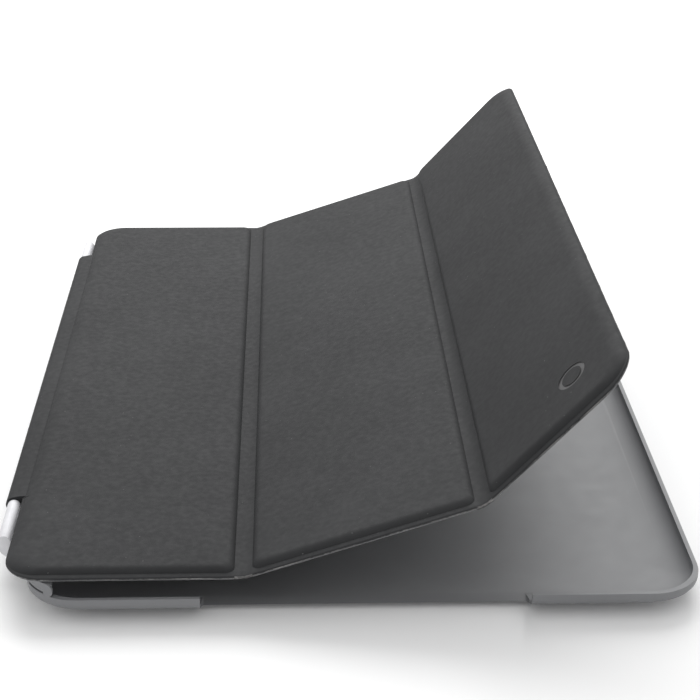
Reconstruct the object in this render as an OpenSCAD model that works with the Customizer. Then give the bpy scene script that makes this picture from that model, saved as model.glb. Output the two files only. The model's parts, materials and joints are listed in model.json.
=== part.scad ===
// Tablet case: clip-on back shell with a three-panel folding front cover.
// Origin: centre of the shell's underside. +X towards the cover's free edge,
// +Y towards the tablet's top end, +Z up out of the glass. The hinge is on -X.

/* [Tablet it fits] */
// Width of the tablet
tablet_w = 134.7; // [133:0.1:136]
// Length of the tablet
tablet_l = 200; // [198:0.5:204]
// Thickness of the tablet
tablet_t = 7.2; // [7:0.1:7.6]
// Corner radius of the tablet
tablet_r = 10; // [9:0.5:11]
// Width of the curved margin of the tablet's back
curve_w = 17; // [14:0.5:18]
// Height of the curved margin of the tablet's back
curve_h = 4.2; // [3.8:0.1:4.4]

/* [Back shell] */
// Clearance between the tablet and the shell
shell_gap = 0.15; // [0.1:0.05:0.2]
// Wall thickness of the shell
shell_wall = 0.9; // [0.8:0.1:1]
// Floor thickness of the shell
shell_floor = 0.8; // [0.7:0.1:1]
// Distance from the glass down to the rim of the wall
rim_drop = 1.9; // [1.6:0.1:2.2]
// Height of the shell's cut edge along the hinge side
hinge_cut_z = 3.3; // [3:0.1:3.4]
// Radius of the camera hole
camera_r = 5; // [4.5:0.1:5.2]
// Width of the opening for the speakers and the port
port_w = 66; // [60:1:68]

/* [Corner claws] */
// Thickness of the claw above the glass
claw_t = 0.8; // [0.6:0.1:0.9]
// Reach of the claw's lip over the glass
claw_lip = 1.2; // [0.8:0.1:1.5]
// Length of the claw along the short edge
claw_reach = 6.4; // [5:0.2:8]
// Length of the claw along the hinge edge
claw_side = 11; // [10:0.5:11.5]
// Height of the relief slit under the claw
slit_h = 0.5; // [0.4:0.1:0.6]

/* [Cover] */
// Clearance between the claws and the closed cover
cover_gap = 0.3; // [0.3:0.1:0.5]
// Length of the cover along the tablet
cover_l = 197.8; // [196:0.2:199]
// Thickness of the microfibre lining
lining_t = 0.4; // [0.3:0.1:0.5]
// Thickness of the outer skin
skin_t = 0.5; // [0.4:0.1:0.6]
// Thickness of the stiff boards
board_t = 1.0; // [0.9:0.1:1.1]
// Distance from the hinge axis to the first fold
span_1 = 49.9; // [49:0.1:51]
// Distance from the first fold to the second
span_2 = 50; // [49:0.1:51]
// Distance from the second fold to the free edge
span_3 = 40; // [39:0.1:41]
// Width of each flexible crease
crease_w = 3.7; // [3.5:0.1:4]
// Flat margin outside the raised boards
margin = 2.0; // [1.8:0.1:2.4]
// Radius of the cover's outer corners
cover_r = 8; // [7:0.5:9]
// Angle that the second panel stands up at
rest_fold_1 = 18.5; // [5:0.5:30]
// Further angle that the third panel stands up at
rest_fold_2 = 29; // [10:0.5:40]

/* [Hinge bar] */
// Height of the hinge axis
axis_z = 7.9; // [7.8:0.1:8]
// Distance from the hinge axis to the tablet's side
axis_out = 6.85; // [6.8:0.05:7]
// Radius of the end knuckles
knuckle_r = 1.4; // [1.3:0.05:1.5]
// Radius of the turning barrel inside the skin
barrel_r = 1.35; // [1.3:0.05:1.4]
// Front end of the bar
bar_front = -81.5; // [-84:0.5:-80]
// Rear end of the bar
bar_rear = 89.5; // [86:0.5:90]
// Front end of the skin wrapped round the barrel
wrap_front = -66; // [-68:0.5:-64]
// Rear end of the skin wrapped round the barrel
wrap_rear = 76; // [74:0.5:77]
// Radius of the hinge pins
pin_r = 0.6; // [0.5:0.05:0.65]
// Running clearance of the pins in the barrel
pin_clear = 0.05; // [0.03:0.01:0.08]
// Length of each hinge pin
pin_l = 20; // [16:1:22]

/* [Magnets and steel] */
// Number of magnets in each end of the bar
bar_magnet_count = 3; // [2:1:3]
// Length of one bar magnet
bar_magnet_l = 12; // [8:1:12]
// Number of latch magnets along the free edge
latch_count = 5; // [3:1:6]
// Length of one latch magnet
latch_l = 10; // [8:1:12]
// Width of one latch magnet
latch_w = 4; // [3:0.5:5]
// Radius of the wake magnet
wake_r = 2.5; // [2:0.5:3]
// Width of the steel keeper strip
keeper_w = 5; // [4:0.5:6]

/* [Hidden] */

// Shell heights and outlines
glass_z = shell_floor + tablet_t;
rim_z = glass_z - rim_drop;
bay_w = tablet_w / 2 + shell_gap;
bay_l = tablet_l / 2 + shell_gap;
shell_w = bay_w + shell_wall;
shell_l = bay_l + shell_wall;
bay_r = tablet_r + shell_gap;
shell_r = bay_r + shell_wall;
belt_z = shell_floor + curve_h;
claw_z = glass_z + claw_t;
claw_base_z = 0.2;
slices = 10;
thin = 0.04;
past = 3;

// Places of the shell's cut-outs
port_z = 1.6;
port_depth = 10;
notch_z = 2.2;
notch_depth = 7;
side_notch = [58, 88];
power_notch = [34, 48];
jack_notch = [-58, -46];
camera_x = 55.5;
camera_y = 87.5;
hinge_gap_front = -shell_l + claw_side + past;
hinge_gap_rear = shell_l - claw_side + past / 2;
hinge_gap_in = 8;

// Cover layers, from the underside up
cover_z = claw_z + cover_gap;
flange_t = lining_t + skin_t;
fold_z = cover_z + flange_t / 2;
half_t = flange_t / 2;
board_low = half_t - skin_t;
pillow_top = half_t + board_t;
half_l = cover_l / 2;

// Hinge and folds
axis_x = -tablet_w / 2 - axis_out;
fold_x = axis_x + span_1;
panel_1_left = axis_x + 2;
web_half = crease_w / 2;
crease_slope = 1.65;
edge_slope = 0.8;
pillow_r = 5;
board_inset = 1.4;
wrap_r = barrel_r + skin_t;
wrap_clear = 2.95;

// Bar section
bar_face_x = -tablet_w / 2 - 0.45;
pad_t = 0.35;
bar_low = 3.9;
bar_top = axis_z;
bar_round = 3.4;
bar_round_x = axis_x + 1.9;
bar_round_z = axis_z - 0.6;
barrel_gap = 0.25;
magnet_deep = 3;
magnet_low = 4.7;
magnet_high = 7.3;
magnet_pitch = bar_magnet_l + 2;
magnet_end = 3;

// Fine enough that round stretches look round
$fn = 64;

// Rounded rectangle with half sizes w and l
module plate_outline(w, l, r) {
    square([2 * w, 2 * (l - r)], center = true);
    square([2 * (w - r), 2 * l], center = true);
    for (sx = [-1, 1], sy = [-1, 1])
        translate([sx * (w - r), sy * (l - r)]) circle(r);
}

// Tray-shaped solid: a quarter-ellipse margin a wide and b high, then straight up to top
module tray_body(w, l, r, a, b, low, top) {
    hull() {
        for (i = [0 : slices - 1]) {
            angle = 90 * i / (slices - 1);
            inset = a * (1 - sin(angle));
            translate([0, 0, low + b * (1 - cos(angle))])
                linear_extrude(thin) plate_outline(w - inset, l - inset, r - inset / 4);
        }
        translate([0, 0, top - thin]) linear_extrude(thin) plate_outline(w, l, r);
    }
}

module shell_outer(top) {
    tray_body(shell_w, shell_l, shell_r, curve_w + shell_wall, belt_z, 0, top);
}

module shell_bay(top) {
    tray_body(bay_w, bay_l, bay_r, curve_w, curve_h, shell_floor, top);
}

// Claw that hooks over the glass at a hinge-side corner, side is -1 front, 1 rear
module corner_claw(side) {
    end_x = -shell_w + claw_reach;
    end_r = (claw_z - rim_z + claw_base_z) / 2;
    difference() {
        intersection() {
            translate([0, 0, rim_z - claw_base_z])
                linear_extrude(claw_z - rim_z + claw_base_z) plate_outline(shell_w, shell_l, shell_r);
            union() {
                translate([-shell_w - 1, side > 0 ? shell_l - claw_side : -shell_l - 1, 0])
                    cube([claw_reach + 1 - end_r, claw_side + 1, claw_z + 1]);
                translate([end_x - end_r, 0, rim_z - claw_base_z + end_r])
                    rotate([90, 0, 0]) translate([0, 0, side > 0 ? -shell_l - 1 : shell_l - shell_r])
                    cylinder(h = shell_r + 1, r = end_r);
            }
        }
        linear_extrude(glass_z) plate_outline(bay_w, bay_l, bay_r);
        linear_extrude(claw_z + 1)
            plate_outline(bay_w - claw_lip, bay_l - claw_lip, bay_r - claw_lip);
        translate([-shell_w - 1, side > 0 ? bay_l - shell_r / 2 : -shell_l - 1, rim_z + claw_base_z])
            cube([claw_reach - 1, shell_r / 2 + 2, slit_h]);
    }
}

module back_shell() {
    color([0.55, 0.56, 0.58, 0.6]) difference() {
        union() {
            difference() {
                shell_outer(rim_z);
                shell_bay(rim_z + 1);
            }
            corner_claw(-1);
            corner_claw(1);
        }
        // Opening for the speakers and the charging port
        translate([-port_w / 2, -shell_l - past, port_z]) cube([port_w, port_depth + past, tablet_t]);
        // Volume keys on the free side, power key and sound jack at the top end
        translate([shell_w - notch_depth, side_notch[0], notch_z])
            cube([notch_depth + past, side_notch[1] - side_notch[0], tablet_t]);
        for (notch = [power_notch, jack_notch])
            translate([notch[0], shell_l - notch_depth, notch_z])
                cube([notch[1] - notch[0], notch_depth + past, tablet_t]);
        // Rear camera
        translate([camera_x, camera_y, -past]) cylinder(h = tablet_t, r = camera_r);
        // The side that the hinge bar lies against stays open
        translate([-shell_w - past, hinge_gap_front, hinge_cut_z])
            cube([hinge_gap_in + past, hinge_gap_rear - hinge_gap_front, tablet_t]);
    }
}

// Extrudes a section drawn in X and Z along Y
module along_y(from, to) {
    translate([0, to, 0]) rotate([90, 0, 0]) linear_extrude(to - from) children();
}

// Section of the bar's ends: round underside and a knuckle at the top
module bar_end_section() {
    intersection() {
        translate([bar_round_x, bar_round_z]) circle(bar_round);
        translate([axis_x - 3, 0]) square([bar_face_x - axis_x + 3, bar_top]);
    }
    translate([bar_round_x, bar_low]) square([bar_face_x - bar_round_x, bar_top - bar_low]);
    translate([axis_x, axis_z]) circle(knuckle_r);
}

// Start of magnet number i, counted from one end of the bar towards its middle
function magnet_y(side, i) = side < 0
    ? bar_front + magnet_end + i * magnet_pitch
    : bar_rear - magnet_end - bar_magnet_l - i * magnet_pitch;

module bar_magnet_blocks(side) {
    for (i = [0 : bar_magnet_count - 1])
        translate([bar_face_x - magnet_deep, magnet_y(side, i), magnet_low])
            cube([magnet_deep, bar_magnet_l, magnet_high - magnet_low]);
}

// Pin seat at one end of the wrapped stretch, side is -1 front, 1 rear
module pin_at(side, r, length) {
    y = side < 0 ? wrap_front : wrap_rear;
    translate([axis_x, y + length / 2, axis_z]) rotate([90, 0, 0]) cylinder(h = length, r = r);
}

module hinge_bar() {
    color([0.88, 0.88, 0.9]) difference() {
        along_y(bar_front, bar_rear) bar_end_section();
        translate([axis_x, wrap_rear + barrel_gap, axis_z]) rotate([90, 0, 0])
            cylinder(h = wrap_rear - wrap_front + 2 * barrel_gap, r = wrap_clear);
        translate([axis_x - 3, wrap_front - barrel_gap, 0])
            cube([3.2, wrap_rear - wrap_front + 2 * barrel_gap, axis_z]);
        bar_magnet_blocks(-1);
        bar_magnet_blocks(1);
        pin_at(-1, pin_r, pin_l);
        pin_at(1, pin_r, pin_l);
    }
}

module bar_magnets_front() {
    color([0.62, 0.63, 0.65]) bar_magnet_blocks(-1);
}

module bar_magnets_rear() {
    color([0.62, 0.63, 0.65]) bar_magnet_blocks(1);
}

module contact_pad() {
    color([0.16, 0.16, 0.17]) translate([bar_face_x, bar_front + 1, bar_low + 0.3])
        cube([pad_t, bar_rear - bar_front - 2, bar_top - bar_low - 0.6]);
}

module hinge_pin_front() {
    color([0.75, 0.75, 0.76]) pin_at(-1, pin_r, pin_l);
}

module hinge_pin_rear() {
    color([0.75, 0.75, 0.76]) pin_at(1, pin_r, pin_l);
}

module hinge_barrel() {
    color([0.3, 0.3, 0.31]) difference() {
        along_y(wrap_front, wrap_rear) translate([axis_x, axis_z]) circle(barrel_r);
        pin_at(-1, pin_r + pin_clear, pin_l + 1);
        pin_at(1, pin_r + pin_clear, pin_l + 1);
    }
}

module hinge_wrap() {
    color([0.28, 0.285, 0.29]) difference() {
        union() {
            along_y(wrap_front, wrap_rear) translate([axis_x, axis_z]) circle(wrap_r);
            along_y(wrap_front, wrap_rear) polygon([
                [axis_x, axis_z + barrel_r + skin_t / 2], [axis_x, axis_z + wrap_r],
                [panel_1_left, cover_z + flange_t], [panel_1_left, cover_z]]);
        }
        along_y(wrap_front - 1, wrap_rear + 1) translate([axis_x, axis_z]) circle(barrel_r);
    }
}

// Plan of one panel between x0 and x1, with corner radii r0 and r1 at its ends
module panel_plan(x0, x1, half, r0, r1) {
    translate([x0 + r0, -half]) square([x1 - x0 - r0 - r1, 2 * half]);
    for (end = [[x0 + r0, r0, x0], [x1 - r1, r1, x1 - r1]])
        if (end[1] > 0) {
            translate([end[2], -half + end[1]]) square([end[1], 2 * (half - end[1])]);
            for (s = [-1, 1]) translate([end[0], s * (half - end[1])]) circle(end[1]);
        }
}

// Raised part of a skin, with sloped sides of widths s0 and s1 at its two ends
module pillow(x0, x1, half, s0, s1, r) {
    height = pillow_top - half_t;
    low = half_t - skin_t / 2;
    grow = skin_t / 2 / height;
    intersection() {
        along_y(-half - 1, half + 1)
            polygon([[x0 - s0 * grow, low], [x1 + s1 * grow, low], [x1 - s1, pillow_top], [x0 + s0, pillow_top]]);
        translate([x0 - 1, 0, 0]) rotate([90, 0, 90]) linear_extrude(x1 - x0 + 2)
            polygon([[-half - edge_slope * grow, low], [half + edge_slope * grow, low],
                [half - edge_slope, pillow_top], [-half + edge_slope, pillow_top]]);
        translate([0, 0, low]) linear_extrude(pillow_top - low) panel_plan(x0, x1, half, r, r);
    }
}

// Outer skin of a panel in its own frame: x along the panel, z from mid-thickness
module skin(x0, x1, r0, r1, s0, s1, m0, m1) {
    difference() {
        union() {
            translate([0, 0, half_t - skin_t]) linear_extrude(skin_t) panel_plan(x0, x1, half_l, r0, r1);
            pillow(x0 + m0, x1 - m1, half_l - margin, s0, s1, pillow_r);
        }
        board_blank(x0 + m0, x1 - m1);
    }
}

// Stiff board that fills the hollow under a skin
module board_blank(x0, x1) {
    translate([0, 0, board_low]) linear_extrude(board_t)
        panel_plan(x0 + board_inset, x1 - board_inset, half_l - margin - board_inset, pillow_r, pillow_r);
}

module lining(x0, x1, r0, r1) {
    translate([0, 0, -half_t]) linear_extrude(lining_t) panel_plan(x0, x1, half_l, r0, r1);
}

// Places a panel's own frame on the hinge or fold that it turns about
module at_panel_1() {
    translate([fold_x, 0, fold_z]) children();
}

module at_panel_2() {
    at_panel_1() rotate([0, -rest_fold_1, 0]) children();
}

module at_panel_3() {
    at_panel_2() translate([span_2, 0, 0]) rotate([0, -rest_fold_2, 0]) children();
}

left_1 = panel_1_left - fold_x;
right_1 = -web_half;
right_2 = span_2 - web_half;
right_3 = span_3;
free_margin = 2.4;
keeper_x = left_1 + 5;
keeper_deep = 0.5;
latch_x = span_3 - free_margin - board_inset - latch_w - 0.6;
latch_pitch = (cover_l - 40) / (latch_count - 1);
wake_y = 34;

module skin_panel_1() {
    color([0.27, 0.275, 0.28]) at_panel_1()
        skin(left_1, right_1, cover_r, 0, edge_slope, crease_slope, margin, 0);
}

// Groove in the first board's top for the steel keeper
module keeper_space() {
    translate([keeper_x, -half_l + 14, board_low + board_t - keeper_deep])
        cube([keeper_w, cover_l - 28, keeper_deep]);
}

module board_panel_1() {
    color([0.5, 0.46, 0.4]) at_panel_1() difference() {
        board_blank(left_1 + margin, right_1);
        keeper_space();
    }
}

module keeper_strip() {
    color([0.66, 0.67, 0.68]) at_panel_1() keeper_space();
}

module lining_panel_1() {
    color([0.36, 0.365, 0.37]) at_panel_1() lining(left_1, right_1, cover_r, 0);
}

module skin_panel_2() {
    color([0.27, 0.275, 0.28]) at_panel_2()
        skin(web_half, right_2, 0, 0, crease_slope, crease_slope, 0, 0);
}

module board_panel_2() {
    color([0.5, 0.46, 0.4]) at_panel_2() board_blank(web_half, right_2);
}

module lining_panel_2() {
    color([0.36, 0.365, 0.37]) at_panel_2() lining(web_half, right_2, 0, 0);
}

module skin_panel_3() {
    color([0.27, 0.275, 0.28]) at_panel_3()
        skin(web_half, right_3, 0, cover_r, crease_slope, edge_slope, 0, free_margin);
}

// Blocks and disc let into the third board
module latch_blocks() {
    for (i = [0 : latch_count - 1])
        translate([latch_x, -latch_l / 2 + (i - (latch_count - 1) / 2) * latch_pitch, board_low])
            cube([latch_w, latch_l, board_t]);
}

module wake_disc() {
    translate([latch_x + latch_w / 2, wake_y - latch_pitch / 2, board_low]) cylinder(h = board_t, r = wake_r);
}

module board_panel_3() {
    color([0.5, 0.46, 0.4]) at_panel_3() difference() {
        board_blank(web_half, right_3 - free_margin);
        latch_blocks();
        wake_disc();
    }
}

module latch_magnets() {
    color([0.62, 0.63, 0.65]) at_panel_3() latch_blocks();
}

module wake_magnet() {
    color([0.7, 0.7, 0.72]) at_panel_3() wake_disc();
}

module lining_panel_3() {
    color([0.36, 0.365, 0.37]) at_panel_3() lining(web_half, right_3, 0, cover_r);
}

// Flexible strip bent through angle between two panels that meet at the fold
module fold_web(angle) {
    bend_r = web_half / tan(angle / 2);
    translate([-web_half, half_l, bend_r]) rotate([90, 0, 0]) rotate([0, 0, -90])
        rotate_extrude(angle = angle) translate([bend_r - half_t, 0]) square([flange_t, cover_l]);
}

module fold_web_1() {
    color([0.22, 0.225, 0.23]) at_panel_1() fold_web(rest_fold_1);
}

module fold_web_2() {
    color([0.22, 0.225, 0.23]) at_panel_2() translate([span_2, 0, 0]) fold_web(rest_fold_2);
}

back_shell();
hinge_bar();
bar_magnets_front();
bar_magnets_rear();
contact_pad();
hinge_pin_front();
hinge_pin_rear();
hinge_barrel();
hinge_wrap();
skin_panel_1();
board_panel_1();
lining_panel_1();
keeper_strip();
fold_web_1();
skin_panel_2();
board_panel_2();
lining_panel_2();
fold_web_2();
skin_panel_3();
board_panel_3();
lining_panel_3();
latch_magnets();
wake_magnet();
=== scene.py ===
"""Looks of the tablet case: folding front cover, hinge bar and clip-on back shell.

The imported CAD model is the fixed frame. Every piece here is built in metres in
that frame: +X runs from the hinge to the cover's free edge, +Y to the tablet's
top end and +Z up out of the glass.
"""

from __future__ import annotations

import json
import logging
import math
from contextlib import contextmanager
from dataclasses import dataclass, field
from enum import Enum
from typing import Callable, Iterator, Sequence

import bmesh
import bpy
from bpy.types import Material, Node, NodeSocket, Object
from mathutils import Matrix, Vector, noise

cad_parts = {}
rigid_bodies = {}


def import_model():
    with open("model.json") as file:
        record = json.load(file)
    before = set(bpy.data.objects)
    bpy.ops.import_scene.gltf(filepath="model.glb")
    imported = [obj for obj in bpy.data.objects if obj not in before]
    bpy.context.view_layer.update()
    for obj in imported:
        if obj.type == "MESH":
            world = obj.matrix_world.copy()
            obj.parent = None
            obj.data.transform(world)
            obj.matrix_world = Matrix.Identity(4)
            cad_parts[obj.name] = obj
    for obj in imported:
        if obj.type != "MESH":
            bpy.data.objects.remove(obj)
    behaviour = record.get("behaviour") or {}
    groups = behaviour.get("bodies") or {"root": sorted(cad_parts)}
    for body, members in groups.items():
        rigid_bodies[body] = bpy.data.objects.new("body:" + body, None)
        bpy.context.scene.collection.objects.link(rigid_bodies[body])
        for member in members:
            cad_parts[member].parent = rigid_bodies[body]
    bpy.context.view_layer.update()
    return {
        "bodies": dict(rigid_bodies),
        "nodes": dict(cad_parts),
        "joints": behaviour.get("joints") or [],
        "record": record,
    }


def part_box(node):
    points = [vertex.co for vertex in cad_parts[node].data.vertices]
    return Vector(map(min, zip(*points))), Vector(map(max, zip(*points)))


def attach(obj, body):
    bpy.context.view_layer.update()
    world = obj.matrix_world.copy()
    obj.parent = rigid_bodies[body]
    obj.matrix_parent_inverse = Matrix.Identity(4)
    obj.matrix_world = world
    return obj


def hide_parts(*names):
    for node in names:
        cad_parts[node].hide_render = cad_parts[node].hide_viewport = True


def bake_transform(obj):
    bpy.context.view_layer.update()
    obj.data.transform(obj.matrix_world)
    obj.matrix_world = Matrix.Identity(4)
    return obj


LOG = logging.getLogger("tablet_case")
MM = 0.001
HAIR = 0.01 * MM
TINY = MM * 0.001
WELD = 0.002 * MM
RADIUS_DIGITS = 7
FACING = 0.9
ALONG = 0.99
SIDES = (-1.0, 1.0)
MIX_COLOURS = (6, 7)
MIX_RESULT = 2
Point2 = tuple[float, float]
Point3 = tuple[float, float, float]
Test = Callable[[Vector, Vector], bool]
Radius = Callable[[Vector], float]


class Element(Enum):
    """Kind of mesh element that a selection picks."""

    VERTEX = "VERT"
    EDGE = "EDGE"
    FACE = "FACE"


class Boolean(Enum):
    """What a boolean does with its tool body."""

    CUT = "DIFFERENCE"
    ADD = "UNION"
    KEEP = "INTERSECT"


class Maths(Enum):
    """Operation of a maths node."""

    ADD = "ADD"
    TIMES = "MULTIPLY"
    BELOW = "LESS_THAN"
    ABOVE = "GREATER_THAN"


class Body(Enum):
    """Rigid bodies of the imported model."""

    TRAY = "tray"
    BAR = "magnet_bar"
    PANEL_1 = "panel_1"
    PANEL_2 = "panel_2"
    PANEL_3 = "panel_3"


class Slot(Enum):
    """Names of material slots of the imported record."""

    SHELL = "shell"
    METAL = "bar_metal"
    SKIN = "skin"
    LINING = "lining"


# ---------------------------------------------------------------- mesh tools


def activate(obj: Object) -> None:
    """Make obj the only selected object and the active one.

    Args:
        obj: object to select.
    """
    bpy.ops.object.select_all(action="DESELECT")
    obj.select_set(True)
    bpy.context.view_layer.objects.active = obj


@contextmanager
def editing(obj: Object, kind: Element = Element.FACE) -> Iterator[None]:
    """Edit mode on one object, with nothing selected at the start.

    Args:
        obj: mesh object to edit.
        kind: element kind that selections work on.

    Returns:
        Context that leaves edit mode at its end.
    """
    activate(obj)
    bpy.ops.object.mode_set(mode="EDIT")
    bpy.ops.mesh.select_mode(type=kind.value)
    bpy.ops.mesh.select_all(action="DESELECT")
    try:
        yield
    finally:
        bpy.ops.object.mode_set(mode="OBJECT")


def pick(obj: Object, kind: Element, test: Test) -> None:
    """Select the elements that pass a test.

    Args:
        obj: object in edit mode.
        kind: vertices, edges or faces.
        test: takes an element's centre and its normal, or an edge's direction.
    """
    bpy.ops.mesh.select_mode(type=kind.value)
    bpy.ops.mesh.select_all(action="DESELECT")
    mesh = bmesh.from_edit_mesh(obj.data)
    mesh.normal_update()
    if kind is Element.VERTEX:
        found = [v for v in mesh.verts if test(v.co, v.normal)]
    elif kind is Element.EDGE:
        ends = ((e, e.verts[0].co, e.verts[1].co) for e in mesh.edges)
        found = [e for e, a, b in ends if test((a + b) / 2, (b - a).normalized())]
    else:
        found = [f for f in mesh.faces if test(f.calc_center_median(), f.normal)]
    for item in found:
        item.select_set(True)
    mesh.select_flush_mode()
    bmesh.update_edit_mesh(obj.data)


def face_outward() -> None:
    """Select the whole mesh in edit mode and point its faces outward."""
    bpy.ops.mesh.select_all(action="SELECT")
    bpy.ops.mesh.normals_make_consistent(inside=False)


def finish_mesh(obj: Object, angle_deg: float = 35.0) -> Object:
    """Merge doubles, point normals outward and smooth by angle.

    Args:
        obj: closed mesh object.
        angle_deg: edges sharper than this stay sharp.

    Returns:
        The same object.
    """
    with editing(obj, Element.VERTEX):
        bpy.ops.mesh.select_all(action="SELECT")
        bpy.ops.mesh.remove_doubles(threshold=WELD)
        face_outward()
    activate(obj)
    bpy.ops.object.shade_smooth_by_angle(angle=math.radians(angle_deg))
    return obj


def place(obj: Object, matrix: Matrix) -> None:
    """Move an object at the origin and bake the move into its mesh.

    Args:
        obj: object at the origin.
        matrix: rigid move into the model's frame.
    """
    obj.matrix_world = matrix @ obj.matrix_world
    activate(obj)
    bpy.ops.object.transform_apply(location=True, rotation=True, scale=True)


def join(name: str, objs: Sequence[Object]) -> Object:
    """Join several meshes into the first one and name it.

    Args:
        name: name of the joined object and its mesh.
        objs: objects to join.

    Returns:
        The first object.
    """
    activate(objs[0])
    for other in objs:
        other.select_set(True)
    bpy.ops.object.join()
    objs[0].name = name
    objs[0].data.name = name
    return objs[0]


def cut(obj: Object, tool: Object, how: Boolean = Boolean.CUT) -> None:
    """Apply a boolean with a tool body and remove the tool.

    Args:
        obj: piece that is changed.
        tool: closed body that cuts, joins or limits it.
        how: what the tool does.
    """
    modifier = obj.modifiers.new("cut", "BOOLEAN")
    modifier.operation = how.value
    modifier.solver = "EXACT"
    modifier.material_mode = "TRANSFER"
    modifier.object = tool
    activate(obj)
    bpy.ops.object.modifier_apply(modifier=modifier.name)
    bpy.data.objects.remove(tool, do_unlink=True)


@dataclass(frozen=True)
class Rect:
    """Outline of one level of a raised form, with its height."""

    x0: float
    x1: float
    y0: float
    y1: float
    z: float

    @property
    def centre(self) -> Vector:
        """Middle of the outline."""
        return Vector(((self.x0 + self.x1) / 2, (self.y0 + self.y1) / 2, self.z))

    def pulled(self, left: float, right: float, ends: float, rise: float) -> Rect:
        """Outline pulled in at each side and lifted."""
        return Rect(self.x0 + left, self.x1 - right, self.y0 + ends, self.y1 - ends,
                    self.z + rise)

    def inset(self, by: float) -> Rect:
        """Outline pulled in by the same distance all round."""
        return self.pulled(by, by, by, 0.0)

    def at_corner(self, point: Vector) -> bool:
        """Whether a point lies at one of the outline's corners."""
        return (min(abs(point.x - self.x0), abs(point.x - self.x1)) < TINY
                and min(abs(point.y - self.y0), abs(point.y - self.y1)) < TINY)


def rounded_plane(name: str, flat: Rect, corners: Radius, segments: int) -> Object:
    """Flat face with rounded corners.

    Args:
        name: name of the new object.
        flat: outline and height of the face.
        corners: gives the radius for a corner at a place, 0 for a sharp one.
        segments: facets of each rounded corner.

    Returns:
        New mesh object with one face, pointing up.
    """
    bpy.ops.object.select_all(action="DESELECT")
    bpy.ops.mesh.primitive_plane_add(size=1.0, location=flat.centre)
    obj = bpy.context.object
    obj.name = name
    obj.scale = (flat.x1 - flat.x0, flat.y1 - flat.y0, 1.0)
    bpy.ops.object.transform_apply(location=True, rotation=True, scale=True)
    radii = sorted({round(corners(v.co), RADIUS_DIGITS) for v in obj.data.vertices} - {0.0})
    with editing(obj, Element.VERTEX):
        for radius in radii:
            pick(obj, Element.VERTEX,
                 lambda p, _n: abs(corners(p) - radius) < TINY and flat.at_corner(p))
            bpy.ops.mesh.bevel(offset=radius, segments=segments, affect="VERTICES")
    return obj


def next_level(old: Rect, new: Rect) -> None:
    """Extrude the selected face from one level to the next.

    Args:
        old: outline the selected face has now.
        new: outline it takes.
    """
    shift = new.centre - old.centre
    bpy.ops.mesh.extrude_region_move(TRANSFORM_OT_translate={"value": tuple(shift)})
    ratio = ((new.x1 - new.x0) / (old.x1 - old.x0), (new.y1 - new.y0) / (old.y1 - old.y0), 1.0)
    bpy.ops.transform.resize(value=ratio, center_override=tuple(new.centre))


def stack(obj: Object, levels: Sequence[Rect]) -> Object:
    """Raise a flat face through a list of levels into a closed form.

    Args:
        obj: object with one flat face.
        levels: the face's own outline, then each outline it takes.

    Returns:
        The same object.
    """
    with editing(obj):
        bpy.ops.mesh.select_all(action="SELECT")
        for old, new in zip(levels, levels[1:]):
            next_level(old, new)
    return obj


def thicken(obj: Object, height: float) -> Object:
    """Extrude a flat face along Z into a closed slab.

    Args:
        obj: object with one flat face.
        height: thickness of the slab.

    Returns:
        The same object.
    """
    with editing(obj):
        bpy.ops.mesh.select_all(action="SELECT")
        bpy.ops.mesh.extrude_region_move(TRANSFORM_OT_translate={"value": (0.0, 0.0, height)})
        face_outward()
    return obj


def prism(name: str, outline: Sequence[Point2], y_low: float, y_high: float,
          cuts: int = 0) -> Object:
    """Closed bar with a section drawn in X and Z, run along Y.

    Args:
        name: name of the new object.
        outline: section points as (x, z), in order.
        y_low: start of the bar.
        y_high: end of the bar.
        cuts: extra rings between its ends.

    Returns:
        New closed mesh object.
    """
    bpy.ops.object.select_all(action="DESELECT")
    bpy.ops.mesh.primitive_circle_add(vertices=len(outline), radius=1.0, fill_type="NGON")
    obj = bpy.context.object
    obj.name = name
    for vertex, (x, z) in zip(obj.data.vertices, outline):
        vertex.co = (x, y_low, z)
    step = (y_high - y_low) / (cuts + 1)
    with editing(obj):
        bpy.ops.mesh.select_all(action="SELECT")
        for _ in range(cuts + 1):
            bpy.ops.mesh.extrude_region_move(TRANSFORM_OT_translate={"value": (0.0, step, 0.0)})
    return obj


def box_tool(low: Point3, high: Point3, round_off: float = 0.0, axis: int = 1,
             segments: int = 6) -> Object:
    """Box that cuts an opening, with its edges along one axis rounded.

    Args:
        low: lowest corner.
        high: highest corner.
        round_off: radius of the rounded edges.
        axis: 0, 1 or 2, the axis along which the rounded edges run.
        segments: facets of each rounded edge.

    Returns:
        New closed mesh object.
    """
    bpy.ops.object.select_all(action="DESELECT")
    bpy.ops.mesh.primitive_cube_add(size=1.0, location=(Vector(low) + Vector(high)) / 2)
    obj = bpy.context.object
    obj.scale = Vector(high) - Vector(low)
    bpy.ops.object.transform_apply(location=True, rotation=True, scale=True)
    if round_off > 0.0:
        with editing(obj, Element.EDGE):
            pick(obj, Element.EDGE, lambda _c, n: abs(n[axis]) > ALONG)
            bpy.ops.mesh.bevel(offset=round_off, segments=segments)
    return obj


def rod(radius: float, length: float, centre: Point3, facets: int, turn: float = 0.0) -> Object:
    """Round closed rod that cuts or joins, along Z or turned from there about X.

    Args:
        radius: radius of the rod.
        length: length of the rod.
        centre: middle of the rod.
        facets: number of facets round it.
        turn: turn about X in radians.

    Returns:
        New closed mesh object.
    """
    bpy.ops.object.select_all(action="DESELECT")
    bpy.ops.mesh.primitive_cylinder_add(vertices=facets, radius=radius, depth=length,
                                        location=centre, rotation=(turn, 0.0, 0.0))
    return bpy.context.object


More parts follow.
